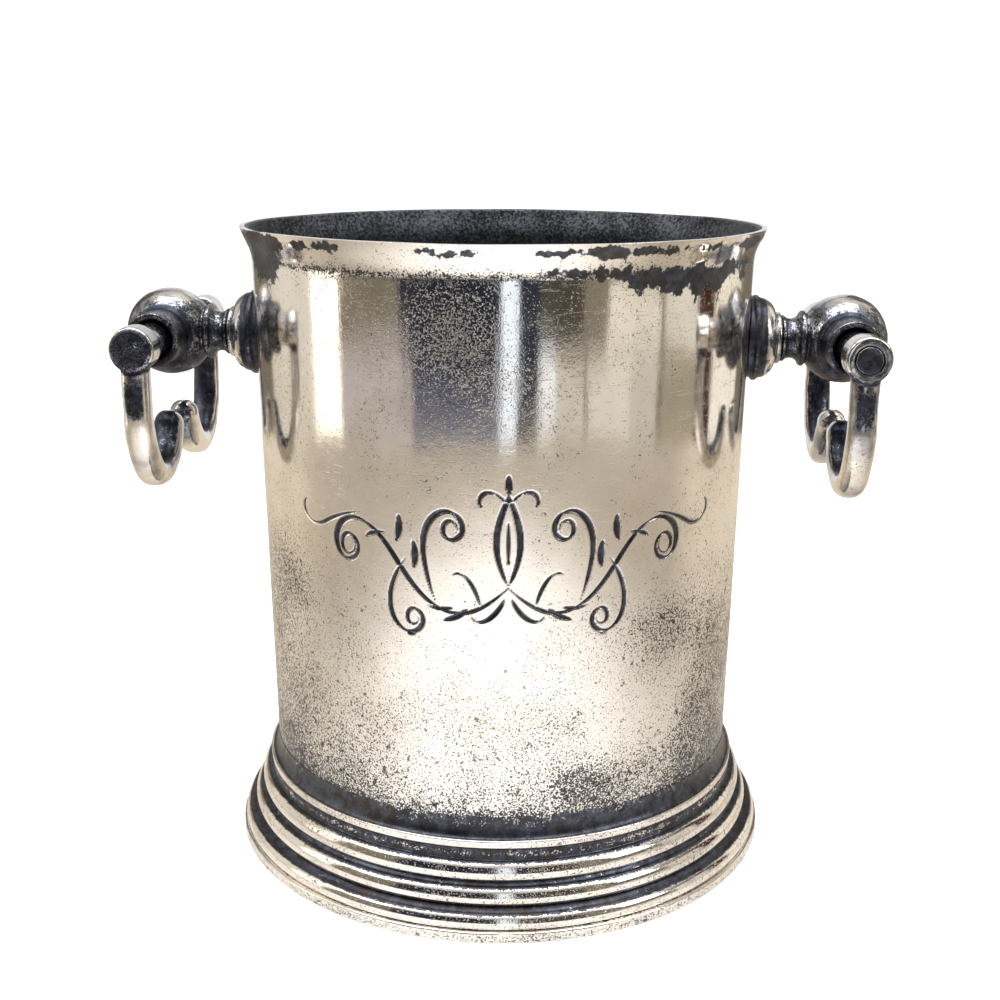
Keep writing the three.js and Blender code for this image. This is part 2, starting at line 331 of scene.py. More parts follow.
FLOURISH_TURN = math.radians(4.5)  # round from the front
FLOURISH_Z = 131.5
FLOURISH_HALF_WIDTH = 82
FLOURISH_HALF_HEIGHT = 28
ENGRAVED_DEPTH = 0.45


def engrave(angle, height, radius):
    """How deep the flourish cuts into the wall at each point, and how dark it is there."""
    places, halves = flourish()
    tree = kdtree.KDTree(len(places))
    for i, (u, v) in enumerate(places):
        tree.insert((u, v, 0), i)
    tree.balance()
    u = (angle + math.pi / 2 - FLOURISH_TURN + math.pi) % (2 * math.pi) - math.pi
    u = u * radius
    v = height - FLOURISH_Z
    near = (np.abs(u) < FLOURISH_HALF_WIDTH) & (np.abs(v) < FLOURISH_HALF_HEIGHT)
    depth = np.zeros(u.shape)
    dark = np.zeros(u.shape)
    for row, column in zip(*np.nonzero(near)):
        _, i, gap = tree.find((u[row, column], v[row, column], 0))
        inside = 1 - gap / halves[i]
        if gap < halves[i] + 0.5:
            depth[row, column] = ENGRAVED_DEPTH * smooth(inside * 1.3) * min(1, halves[i] + 0.4)
            dark[row, column] = smooth((halves[i] + 0.12 - gap) / 0.3)
    return depth, dark


# ---- bucket

def wall_radius(z):
    """The outside radius of the tapering wall between the foot and the lip."""
    return WALL_BASE_R + (LIP_R - WALL_BASE_R) * (z - FOOT_TOP) / (LIP_Z - FOOT_TOP)


def lip_outline(inset_at_wall, inset_at_rim):
    """The flared lip from the wall up to the rim."""
    t = np.linspace(0, 1, 31)
    z = LIP_Z + (HEIGHT - LIP_Z) * t
    r = LIP_R + (RIM_R - LIP_R) * (t ** 1.15 - 0.04 * np.sin(t * 2 * np.pi))
    return np.stack([r - (inset_at_wall + (inset_at_rim - inset_at_wall) * t), z], -1)


def wall_outline():
    """The wall's section, up the outside, over the rolled rim and down the inside. Its rows
    stand close together behind the flourish and wider elsewhere."""
    fine = np.arange(FLOURISH_Z - FLOURISH_HALF_HEIGHT, FLOURISH_Z + FLOURISH_HALF_HEIGHT, 0.36)
    below = np.arange(SEAT_Z, fine[0] - 1, 1.6)
    above = np.arange(fine[-1] + 1.2, LIP_Z - 0.4, 1.0)
    z = np.concatenate([below, fine, above])
    outside = np.stack([wall_radius(z), z], -1)
    lip = lip_outline(0, 0)
    rim_top = HEIGHT - 0.1
    inner_rim_r = RIM_R - RIM_THICKNESS
    rim = round_corners(
        [lip[-2], (RIM_R, rim_top), (inner_rim_r, rim_top), (inner_rim_r - 0.3, HEIGHT - 3)],
        [0, 1.7, 1.3, 0], 8)[1:-1]
    inner_lip = lip_outline(WALL_THICKNESS, RIM_THICKNESS)[::-1][11:]
    inner_z = np.arange(LIP_Z - 2, SEAT_Z, -2.5)
    inside = np.stack([wall_radius(inner_z) - WALL_THICKNESS, inner_z], -1)
    bottom = np.array([(wall_radius(SEAT_Z) - WALL_THICKNESS, SEAT_Z)])
    return np.concatenate([outside, lip[:-1], rim, inner_lip, inside, bottom])


def wall_angles():
    """Columns round the wall, close together behind the flourish and wider elsewhere."""
    half = FLOURISH_HALF_WIDTH / wall_radius(FLOURISH_Z)
    centre = FLOURISH_TURN - math.pi / 2
    fine = np.linspace(centre - half, centre + half, 440)
    rest = np.linspace(centre + half, centre - half + 2 * math.pi, 190)[1:-1]
    return np.concatenate([fine, rest])


def hand_finish(angle, height, seed):
    """A slow, slight waviness of a hand-finished surface, from about -1 to 1."""
    waves = ((0.45, 3, 0.021, 1), (0.3, 7, -0.05, 2), (0.25, 13, 0.083, 3), (0.2, 5, 0.13, 5))
    return sum(size * np.sin(count * angle + height * lean + seed * shift)
               for size, count, lean, shift in waves)


def make_wall():
    """The engraved wall, with masks for its stains, pits, recesses, painted shade deeper inside and
    unpolished inside.
    """
    outline = wall_outline()
    angles = wall_angles()
    top = int(np.argmax(outline[:, 1] > LIP_Z))
    masks = {}

    def bend(turn, radius, height):
        depth, dark = engrave(turn[:top], height[:top], wall_radius(FLOURISH_Z))
        cut = np.zeros(radius.shape)
        masks["engraved"] = np.zeros(radius.shape)
        cut[:top] = depth
        masks["engraved"][:top] = dark
        # The seat in the foot stays true, and so does the wall below the rim's own waviness.
        wave = hand_finish(turn, height, 0.7)
        above_seat = smooth((height - SEAT_Z - 4) / 15)
        radius = radius + 0.10 * wave * above_seat - 0.05 * above_seat - cut
        at_rim = smooth((height - (HEIGHT - 3)) / 3)
        height = height + at_rim * (0.16 * hand_finish(turn, height * 0, 2.4) - 0.16)
        return radius, height

    piece = revolve("wall_skin", outline, angles, bend)
    z = outline[:, 1]
    is_inside = np.arange(len(outline)) > np.argmax(z)
    near = smooth((70 - np.abs(from_front(angles))) / 40)
    polished_to = RIM_R - 1.2 - 2.4 * near
    unpolished = is_inside[:, None] & (outline[:, :1] < polished_to[None, :])
    masks["inside"] = unpolished.astype(float)
    above_foot = 0.74 * np.exp(-np.maximum(z - FOOT_TOP, 0) / 4.5)
    under_lip = 0.72 * np.exp(-np.abs(z - LIP_Z - 0.8) / 1.6)
    # Inside, the mask grows deeper below the rim: painted shade. Outside it is high just above the
    # foot and under the lip, where patina gathers.
    below_rim = smooth((HEIGHT - 3 - z) / 14)
    patina_and_shade = np.where(is_inside, below_rim, np.maximum(above_foot, under_lip))
    masks["patina_and_shade"] = all_round(patina_and_shade, len(angles))
    masks["speckle"] = wall_speckle(angles[None, :], z[:, None])
    masks["stain"] = lip_stain(angles[None, :], z[:, None])
    for name, values in masks.items():
        mark(piece, name, values)
    return piece


def from_front(angle):
    """Degrees round from the front towards +X, from -180 to 180."""
    return (np.degrees(angle) + 90 + 180) % 360 - 180


def patches(angle, z, *spots):
    """Soft round patches on the wall, added up. Each has its strength, its middle in degrees
    from the front and in millimetres up, its half width in degrees and its half height."""
    return sum(
        strength * np.exp(-((from_front(angle) - middle) / wide) ** 2 - ((z - up) / tall) ** 2)
        for strength, middle, up, wide, tall in spots)


def wall_speckle(angle, z):
    """How thickly the dark pits stand: most near the foot and on both flanks."""
    turn = np.abs(from_front(angle))
    flank = smooth((turn - 38) / 18) * smooth((150 - z) / 40) * 0.42
    foot = 0.62 * np.exp(-np.maximum(z - FOOT_TOP, 0) / 14) + 0.46 * smooth((136 - z) / 55)
    spots = patches(
        angle, z, (-0.40, 2, 88, 12, 30), (0.55, -12, 203, 15, 15), (0.385, 2, 183, 13, 14),
        (0.55, 40, 103, 15, 15), (0.5, 50, 138, 6, 7), (0.8, 21, 50, 7, 6),
        (0.3, -50, 110, 14, 16))
    return np.clip(foot + flank + spots, 0, 1.3)


def lip_stain(angle, z):
    """Where dark stains hang from the lip, over a thin band that runs all round it."""
    spots = patches(
        angle, z, (0.9, 47, 218.5, 22, 4.4), (0.55, 44, 212, 9, 6), (1.1, -62, 221, 13, 8),
        (0.8, 14, 221, 7, 2.2), (0.7, 150, 219, 25, 5), (0.6, -140, 222, 18, 5))
    band = 0.80 * np.exp(-((z - 227.2) / 2.2) ** 2) * (0.8 + 0.2 * np.cos(angle * 5 + 1))
    return np.clip(spots + band, 0, 1)


# The foot's reeds: middle height, half height and reach
BEADS = ((6.6, 2.6, FOOT_R - 0.9), (13.6, 3.1, FOOT_R - 4.9), (21.3, 3.3, FOOT_R - 7.9))
LEDGE_R = FOOT_R - 11.5
LEDGE_LOW = 28.9
LEDGE_TOP = 31.4
FOOT_LIP_Z = 4.0
FOOT_SOLE_R = FOOT_R - 6.4
FOOT_HOLLOW_R = 79
FOOT_HOLLOW_Z = 33


def foot_outline():
    """The foot's section: bottom lip, three flattened reeds that lean outwards at the bottom,
    ledge and cove, then its inside."""
    lip_r = FOOT_R - 0.05
    outside = [np.array([[FOOT_SOLE_R, 0.0]])]
    outside.append(round_corners(
        [(FOOT_SOLE_R, 0), (lip_r, 0), (lip_r, FOOT_LIP_Z - 0.3), (FOOT_R - 1.6, FOOT_LIP_Z)],
        [0, 1.0, 0.8, 0])[1:-1])
    for z, radius, reach in BEADS:
        angle = np.radians(np.linspace(-84, 86, 28))
        nose = radius * np.cos(angle) ** 0.6 - 0.26 * radius * np.sin(angle) - 0.2
        outside.append(np.stack([reach - radius + nose, z + radius * np.sin(angle)], -1))
    top_reach = BEADS[-1][2] - BEADS[-1][1]
    cove_r, cove_z = LEDGE_R - 1.0, LEDGE_TOP + 0.2
    outside.append(round_corners(
        [(top_reach - 0.9, 25.2), (LEDGE_R - 0.9, LEDGE_LOW - 0.6), (LEDGE_R, LEDGE_LOW),
         (LEDGE_R, LEDGE_TOP), (cove_r, cove_z)], [0, 0.5, 0.7, 0.9, 0])[1:])
    quarter = np.linspace(0.08, 1, 14) * np.pi / 2
    wall_r = WALL_BASE_R + 0.12
    outside.append(np.stack([cove_r + (wall_r - cove_r) * np.sin(quarter),
                             cove_z + (FOOT_TOP - cove_z) * (1 - np.cos(quarter))], -1))
    inside = np.array([
        (WALL_BASE_R + 0.02, FOOT_TOP - 0.2), (WALL_BASE_R + 0.3, FOOT_HOLLOW_Z),
        (FOOT_HOLLOW_R, FOOT_HOLLOW_Z), (FOOT_HOLLOW_R, 29.5), (85.5, 27.5), (89, 14.25)])
    return np.concatenate([even(np.concatenate(outside), 0.5, closed=False),
                           even(inside, 1.5, closed=False)])


def foot_recess(r, z):
    """Bright on the reeds' faces, dark in the grooves between them and in the cove."""
    patina_and_shade = np.where(z > LEDGE_TOP + 0.2, 1.0 - 0.22 * smooth((z - 34) / 5), 0.95)
    for bead_z, radius, reach in BEADS:
        up = (z - bead_z) / radius
        on_bead = (np.abs(up) < 0.99) & (r > reach - radius - 0.6)
        face = np.minimum(smooth((0.97 - up) / 0.30), smooth((up + 1.0) / 0.18))
        patina_and_shade = np.where(on_bead, 1 - face, patina_and_shade)
    lip = smooth((r - (FOOT_R - 2.4)) / 1.2) * (z < FOOT_LIP_Z + 0.2)
    ledge = smooth((r - (LEDGE_R - 1.1)) / 0.7) * (z > LEDGE_LOW - 0.7) * (z < LEDGE_TOP + 0.6)
    slope = 0.30 * smooth(1 - np.abs(z - 26.6) / 1.6) * (r > 88)
    return np.clip(patina_and_shade - np.maximum.reduce([lip, ledge, slope]), 0, 1)


def make_foot():
    """The foot ring, slightly uneven outside, with worn chips along its bottom lip."""
    outline = foot_outline()
    angles = full_turn(360)

    def bend(turn, radius, height):
        wave = hand_finish(turn, height * 2, 4.1)
        outer = smooth((radius - 88.5) / 3)
        chips = 0.12 * smooth((4.6 - height) / 1.5) * hand_finish(turn * 9, height, 1.3)
        return radius + (0.12 * wave - 0.24 + chips) * outer, height

    piece = revolve("foot_skin", outline, angles, bend)
    r, z = outline.T
    is_inside = np.arange(len(z)) > np.argmax(z)
    patina_and_shade = np.where(is_inside, 0.55, foot_recess(r, z))
    mark(piece, "patina_and_shade", all_round(patina_and_shade, len(angles)))
    speckle = np.where(is_inside, 0.5, 0.25 + 0.4 * smooth((3.9 - z) / 2))
    mark(piece, "speckle", all_round(speckle, len(angles)))
    return piece


RAISED_R = 62
DISHED_R = 68.4
FLOOR_RAISE = 1.6
FLOOR_THICKNESS = 2


def make_floor():
    """The floor plate, raised a little in the middle, with painted shade round its edge."""
    low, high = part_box("floor_plate")
    radius = high.x / MM
    bottom, top = low.z / MM, high.z / MM
    edge_top = bottom + FLOOR_THICKNESS
    under = [(0.0, bottom + FLOOR_RAISE), (RAISED_R, bottom + FLOOR_RAISE), (DISHED_R, bottom),
             (radius, bottom)]
    over = [(radius, edge_top), (DISHED_R, edge_top), (RAISED_R, top), (0.0, top)]
    outline = round_corners([*under, *over], [0, 4, 4, 0.3, 0.6, 4, 4, 0])
    piece = revolve_capped("floor_skin", outline, 2.5, 160)
    co = points_of(piece)
    # Painted shade round the floor's edge, where it meets the wall, over a partly dark base.
    mark(piece, "patina_and_shade", 0.35 + 0.65 * smooth((np.hypot(co[:, 0], co[:, 1]) - 72) / 10))
    return piece


# ---- posts, pins and loops

# Along the post, from the bucket's axis
ROSETTE_BACK_X = 86
ROSETTE_RIM_X = 92.2
ROSETTE_BORE_R = 5.3
NECK_BACK_X = 90.4
NECK_START_X = 101.5

# The knuckle's turned neck, as (radius, distance from the bucket's axis)
NECK = (
    (8.0, NECK_START_X), (8.5, 101.9), (8.5, 102.5), (7.5, 103.2), (7.1, 105.0), (7.6, 106.6),
    (8.5, 107.6), (9.7, 108.1), (10.1, 108.5), (10.1, 109.7), (8.9, 110.3),
)
SPIGOT_R = 5
HUB_R = 9.7
BORE_R = 6.6
PIN_R = 6.2


def make_rosette(side, turn):
    """The stepped rosette. Its back follows the round wall."""
    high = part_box("right_rosette")[1]
    front, reach = high.x / MM, high.y / MM
    rim = ROSETTE_RIM_X
    dome = np.radians(np.linspace(8, 76, 14))
    dome_r = 9.2 + (reach - 10.1) * np.cos(dome)
    dome_x = rim + 0.9 + 6.0 * np.sin(dome)
    base = round_corners(
        [(ROSETTE_BORE_R, ROSETTE_BACK_X), (reach - 1.2, ROSETTE_BACK_X),
         (reach - 1.1, rim - 1.6), (reach, rim - 0.9), (reach, rim + 0.5),
         (reach - 0.6, rim + 0.9)], [0, 0.4, 0.6, 0.5, 0.4, 0])
    tip = round_corners(
        [(9.0, rim + 7.0), (9.4, rim + 7.5), (9.4, front - 0.5), (8.8, front),
         (ROSETTE_BORE_R, front)], [0.2, 0.4, 0.4, 0.3, 0])
    outline = np.concatenate([base, np.stack([dome_r, dome_x], -1), tip])
    outline = even(outline, 0.4)
    columns = 128
    piece = revolve(side + "_rosette_skin", outline, full_turn(columns))
    co = points_of(piece)
    # The axis points along Z until it is placed: y stays sideways and -x becomes up.
    wall = wall_radius(PIVOT.z - co[:, 0]) + 0.3
    back = np.sqrt(wall ** 2 - co[:, 1] ** 2)
    co[:, 2] = np.maximum(co[:, 2], back)
    set_points(piece, co)
    # Dark patina in the grooves over a partly dark base; the flange by the wall is made fully dark
    # as painted shade, and a band on the dome is kept cleaner.
    grooves_and_flange_shade = 0.42 + groove_of(outline, 1.0)
    grooves_and_flange_shade[outline[:, 1] < rim - 1.0] = 1
    grooves_and_flange_shade -= 0.35 * smooth(1 - np.abs(outline[:, 1] - rim - 4.5) / 2.5)
    mark(piece, "patina_and_shade", all_round(grooves_and_flange_shade, columns))
    return on_post(piece, turn)


def groove_of(outline, reach):
    """How hollow a closed outline is at each point: 0 on crests and flats, 1 in grooves."""
    before, after = np.roll(outline, 1, axis=0), np.roll(outline, -1, axis=0)
    a, b = outline - before, after - outline
    cross = a[:, 0] * b[:, 1] - a[:, 1] * b[:, 0]
    bend = cross / (np.linalg.norm(a, axis=1) * np.linalg.norm(b, axis=1) + 1e-9)
    hollow = np.clip(-bend * 4, 0, 1)
    gap = np.linalg.norm(outline[:, None] - outline[None], axis=2)
    return np.clip((hollow[None, :] * np.exp(-(gap / reach) ** 2)).max(1) * 1.4, 0, 1)


def make_knuckle(side, turn):
    """Neck, ball and hubs as one casting, bored through for the pin."""
    ball_r = BALL_REACH - PIVOT.x
    angle = np.linspace(math.asin(NECK[-1][0] / ball_r), math.pi, 60)
    ball = np.stack([ball_r * np.sin(angle), PIVOT.x - ball_r * np.cos(angle)], -1)
    spigot = [(0, NECK_BACK_X), (SPIGOT_R, NECK_BACK_X), (SPIGOT_R, NECK_START_X)]
    shape = np.concatenate([spigot, NECK, ball])
    shape[-1, 0] = 0
    piece = revolve_capped(side + "_knuckle_skin", shape, 0.8, 96)
    place(piece, ALONG_X, (0, 0, PIVOT.z))
    hub = round_corners([(0, -HUB_REACH), (HUB_R, -HUB_REACH), (HUB_R, HUB_REACH), (0, HUB_REACH)],
                        [0, 0.5, 0.5, 0])
    combine(piece, across("hubs", hub, 1.5, 96), "UNION")
    far = HUB_REACH + 1
    half = [(BORE_R, HUB_REACH - 2), (BORE_R + 1.0, HUB_REACH), (BORE_R + 1.1, far), (0, far)]
    bore = np.array([(r, -y) for r, y in half[::-1]] + half)
    combine(piece, across("bore", bore, 2, 96), "DIFFERENCE")
    blend_surface(piece, 0.36, 8)
    roughen(piece, 0.16, 6, 3 if side == "left" else 8)
    roughen(piece, 0.05, 1.6, 5 if side == "left" else 2)
    co = points_of(piece) - np.array(PIVOT)
    off_axis = np.hypot(co[:, 0], co[:, 2])
    # Painted shade in the hubs' mouths round the pin, in the crease where the hubs meet the ball
    # and under the ball, whose top is painted lighter; the neck is made darker, over a base of
    # patina.
    mouth_shade = smooth((8.2 - off_axis) / 0.8) * smooth((np.abs(co[:, 1]) - 18) / 3)
    on_ball = smooth(1 - np.abs(np.linalg.norm(co, axis=1) - ball_r) / 2.4)
    crease_shade = on_ball * smooth((12.0 - off_axis) / 1.4) * (np.abs(co[:, 1]) > 8)
    neck = smooth((-co[:, 0] - 11.5) / 2) * 0.62
    patina_and_underside_shade = 0.56 + 0.25 * smooth(-co[:, 2] / 10) - 0.45 * smooth((co[:, 2] - 10) / 5)
    mark(piece, "patina_and_shade", np.clip(np.maximum.reduce([mouth_shade, crease_shade, neck, patina_and_underside_shade]), 0, 1))
    return place(piece, turn)


def make_pin(side, turn):
    """The cross pin, riveted into the loops' bosses. The left pin's ends are dressed smooth and
    cover the bosses' eyes, with a centre mark; the right pin's are left as hammered."""
    shoulder = BOSS_REACH - 11.3
    end = BOSS_REACH - 0.05
    rivet_r = 4.5
    shank = [(rivet_r, -shoulder), (PIN_R, -shoulder), (PIN_R, shoulder), (rivet_r, shoulder)]
    if side == "left":
        head = [(0, end - 0.1), (6.4, end - 0.15), (7.3, end - 0.6), (7.3, end - 0.8),
                (rivet_r, end - 0.8)]
        radii = [0, 0.6, 0.4, 0, 0]
    else:
        head = [(0, end - 0.9), (3.0, end - 0.7), (rivet_r, end - 0.1), (4.6, end - 0.8)]
        radii = [0, 1.2, 0.5, 0]
    low = [(r, -y) for r, y in head]
    outline = round_corners([*low, *shank, *head[::-1]], [*radii, 0, 0.4, 0.4, 0, *radii[::-1]])
    piece = across(side + "_pin_skin", outline, 0.35, 72)
    if side == "left":
        for facing in (-1, 1):
            hollow = np.array([(0, -0.9), (0.8, -0.5), (1.0, 0.2), (0, 0.9)])
            middle = (PIVOT.x - 2.4 * facing, facing * (end - 0.05), PIVOT.z + 2.1)
            combine(piece, across("dimple", hollow, 2, 24, middle), "DIFFERENCE")
    roughen(piece, 0.10, 4, 11)
    co = points_of(piece) - np.array(PIVOT)
    reach = np.abs(co[:, 1])
    off_axis = np.hypot(co[:, 0], co[:, 2])
    # Painted shade where the pin enters the hubs and the bosses. The left pin's end faces are
    # painted dark as a painted dark reflection; the right rivet heads are darker in their hollow
    # middles. A light patina covers all.
    near_hub = smooth((29 - reach) / 4)
    near_boss = smooth((reach - 36.5) / 3) * (reach < shoulder + 0.5)
    face = (reach > end - 1.0) * (0.62 if side == "left" else 0.85 * smooth((4.6 - off_axis) / 0.6))
    mark(piece, "patina_and_shade", np.maximum.reduce([near_hub, near_boss, face, np.full(len(co), 0.25)]))
    return place(piece, turn)


def squared(angle, power=2.5):
    """Swells a circle of radius 1 towards a square with soft corners."""
    return (abs(math.cos(angle)) ** power + abs(math.sin(angle)) ** power) ** (-1 / power)


def sweep(name, path, radii, sides):
    """A bar along a path in the YZ plane, softly squared, with a rounded far end."""
    path = np.asarray(path, float)
    radii = np.asarray(radii, float)
    tangent = np.gradient(path, axis=0)
    tangent /= np.linalg.norm(tangent, axis=1)[:, None]
    side_way = np.array([1.0, 0, 0])
    cap = np.radians(np.linspace(0, 88, 9))[1:]
    ends = path[-1] + tangent[-1] * (radii[-1] * np.sin(cap))[:, None]
    path = np.concatenate([path, ends])
    tangent = np.concatenate([tangent, np.repeat(tangent[-1:], len(cap), axis=0)])
    radii = np.concatenate([radii, radii[-1] * np.cos(cap)])
    turn = full_turn(sides)
    rings = []
    for p, t, r in zip(path, tangent, radii):
        other = np.cross(t, side_way)
        rings += [(p + r * squared(a) * (math.cos(a) * side_way + math.sin(a) * other)).tolist()
                  for a in turn]
    end = path[-1] + tangent[-1] * radii[-1] * 0.3
    return add_tube(name, rings, sides, path[0].tolist(), end.tolist())


BOSS_R = 7.9
BOSS_HALF = 5.5
BOSS_Y = BOSS_REACH - BOSS_HALF
EYE_R = 4.75


def loop_path(facing):
    """Centre line and bar radius of a drop loop: limb, oval bottom and rounded tip."""
    inner_y = 7.8
    straight, tip_drop = 22, 33.5
    drop = PIVOT.z - LOOP_LOW - 5.4
    middle, half = (BOSS_Y + inner_y) / 2, (BOSS_Y - inner_y) / 2
    tip = math.pi - math.asin((tip_drop - straight) / (drop - straight))
    down = np.linspace(4, straight, 10)
    around = np.linspace(0, tip, 44)[1:]
    y = np.concatenate([np.full(len(down), BOSS_Y), middle + half * np.cos(around)])
    z = np.concatenate([down, straight + (drop - straight) * np.sin(around)])
    path = np.stack([np.full(len(y), PIVOT.x), facing * y, PIVOT.z - z], -1)
    along = np.linspace(0, 1, len(path))
    radii = 5.0 + 0.35 * smooth((along - 0.55) / 0.4) - 0.15 * np.exp(-((along - 0.1) / 0.1) ** 2)
    return path, radii


def make_loop(side, end, facing, turn):
    """A boss with its eye and a drop loop, with painted shade on the faces inside its bend and a
    painted dark reflection on its outer face.
    """
    path, radii = loop_path(facing)
    piece = sweep(f"{side}_{end}_loop_skin", path, radii, 48)
    middle = Vector((PIVOT.x, facing * BOSS_Y, PIVOT.z))
    outer = BOSS_HALF - (0.95 if side == "left" else 0.15)
    boss = round_corners([(0, -BOSS_HALF), (BOSS_R, -BOSS_HALF), (BOSS_R, outer), (0, outer)],
                         [0, 1.1, 0.9, 0])
    boss[:, 1] *= facing
    combine(piece, across("boss", boss[::facing], 1.0, 72, middle), "UNION")
    eye = np.array([(0, -7.0), (EYE_R, -7), (EYE_R, 7), (0, 7)])
    combine(piece, across("eye", eye, 1.5, 60, middle), "DIFFERENCE")
    blend_surface(piece, 0.34, 12)
    seed = 2 * len(side) + facing
    roughen(piece, 0.26, 8, seed)
    roughen(piece, 0.03, 1.8, seed + 20)
    local = points_of(piece) - np.array(middle)
    off_axis = np.hypot(local[:, 0], local[:, 2])
    # Painted shade in the crease under the boss and round the pin in its eye.
    crease_shade = smooth(1 - np.abs(off_axis - 8.0) / 1.8) * (local[:, 2] < -4) * 0.8
    eye_shade = smooth((5.6 - off_axis) / 0.8)
    outward = np.array([v.normal.y for v in piece.data.vertices]) * facing
    # film is a painted dark reflection: a dark patch on the loop's outward face below the boss.
    film = 0.74 * np.exp(-((local[:, 2] + 17) / 7) ** 4) * smooth((outward - 0.72) / 0.2)
    mark(piece, "patina_and_shade", np.maximum.reduce([crease_shade, eye_shade, film, inner_faces(piece, facing)]))
    return place(piece, turn)


def inner_faces(piece, facing):
    """Painted shade: 1 where a loop's surface looks into its own bend or at the other loop's tip.
    """
    co = points_of(piece)
    normals = np.array([v.normal for v in piece.data.vertices])
    middle_y = facing * (BOSS_REACH + 2.3) / 2
    to_middle = np.stack([middle_y - co[:, 1], PIVOT.z - 26 - co[:, 2]], -1)
    to_middle[:, 1] *= co[:, 2] < PIVOT.z - 22
    to_middle /= np.linalg.norm(to_middle, axis=1)[:, None] + 1e-6
    inward = (normals[:, 1:] * to_middle).sum(1)
    below_boss = smooth((PIVOT.z - 8 - co[:, 2]) / 4)
    # Painted shade in the narrow gap between the two loops' tips.
    between_tips = smooth((-facing * normals[:, 1] - 0.5) / 0.4) * (np.abs(co[:, 1]) < 13) * 0.5
    return np.maximum(smooth((inward - 0.30) / 0.45) * 0.8, between_tips) * below_boss


# ---- fixings

def box_span(node):
    """Where a right-hand fixing starts and ends along X, and its reach, in millimetres."""
    low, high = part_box(node)
    return low.x / MM, high.x / MM, high.y / MM


def make_ring(side, kind, turn):
    """A steel or rubber washer round the fixing bolt."""
    start, stop, reach = box_span(f"right_{kind}")
    hole = 3.1
    outline = round_corners([(hole, start), (reach, start), (reach, stop), (hole, stop)],
                            [0.2] * 4, 3)
    piece = revolve(f"{side}_{kind}_skin", even(outline, 0.6), full_turn(72))
    if kind == "sealing_washer":
        bend_to_wall(piece, stop)
    mark(piece, "patina_and_shade", 0.2)
    return on_post(piece, turn)


def bend_to_wall(piece, stop):
    """Presses the outer face of the rubber washer against the round inside of the wall."""
    co = points_of(piece)
    wall = wall_radius(PIVOT.z - co[:, 0]) - WALL_THICKNESS - 0.35
    limit = np.sqrt(wall ** 2 - co[:, 1] ** 2)
    co[:, 2] = np.minimum(co[:, 2], np.minimum(limit, stop))
    set_points(piece, co)


def make_bolt(side, turn):
    """A hexagon-headed bolt with a chamfered head and a shank with a rolled thread."""
    start, stop, _ = box_span("right_fixing_bolt")
    head_r = 5.75  # to the hexagon's corners
    head_end = start + 4
    head = round_corners([(0, start), (head_r * 0.82, start), (head_r, start + 0.7),
                          (head_r, head_end - 0.3), (head_r - 0.4, head_end), (0, head_end)],
                         [0, 0.3, 0.3, 0.2, 0.2, 0])
    piece = revolve_capped(f"{side}_bolt_skin", head, 0.5, 72)
    co = points_of(piece)
    angle = np.arctan2(co[:, 1], co[:, 0])
    flat = np.cos((angle + np.pi / 6) % (np.pi / 3) - np.pi / 6)
    limit = head_r * 0.868 / np.maximum(flat, 0.8)
    radius = np.hypot(co[:, 0], co[:, 1])
    shrink = np.minimum(1, limit / np.maximum(radius, 1e-6))
    co[:, :2] *= shrink[:, None]
    set_points(piece, co)
    pitch = 1.0
    z = np.arange(head_end - 0.5, stop - 0.4, 0.125)
    thread = 2.55 + 0.22 * np.cos(2 * np.pi * z / pitch) * smooth((z - head_end - 4) / 2)
    shank = np.concatenate([[(0, z[0])], np.stack([thread, z], -1), [(2.0, stop), (0, stop)]])
    combine(piece, revolve_capped("shank", shank, 3, 36), "UNION")
    mark(piece, "patina_and_shade", 0.15)
    return on_post(piece, turn)


# ---- materials

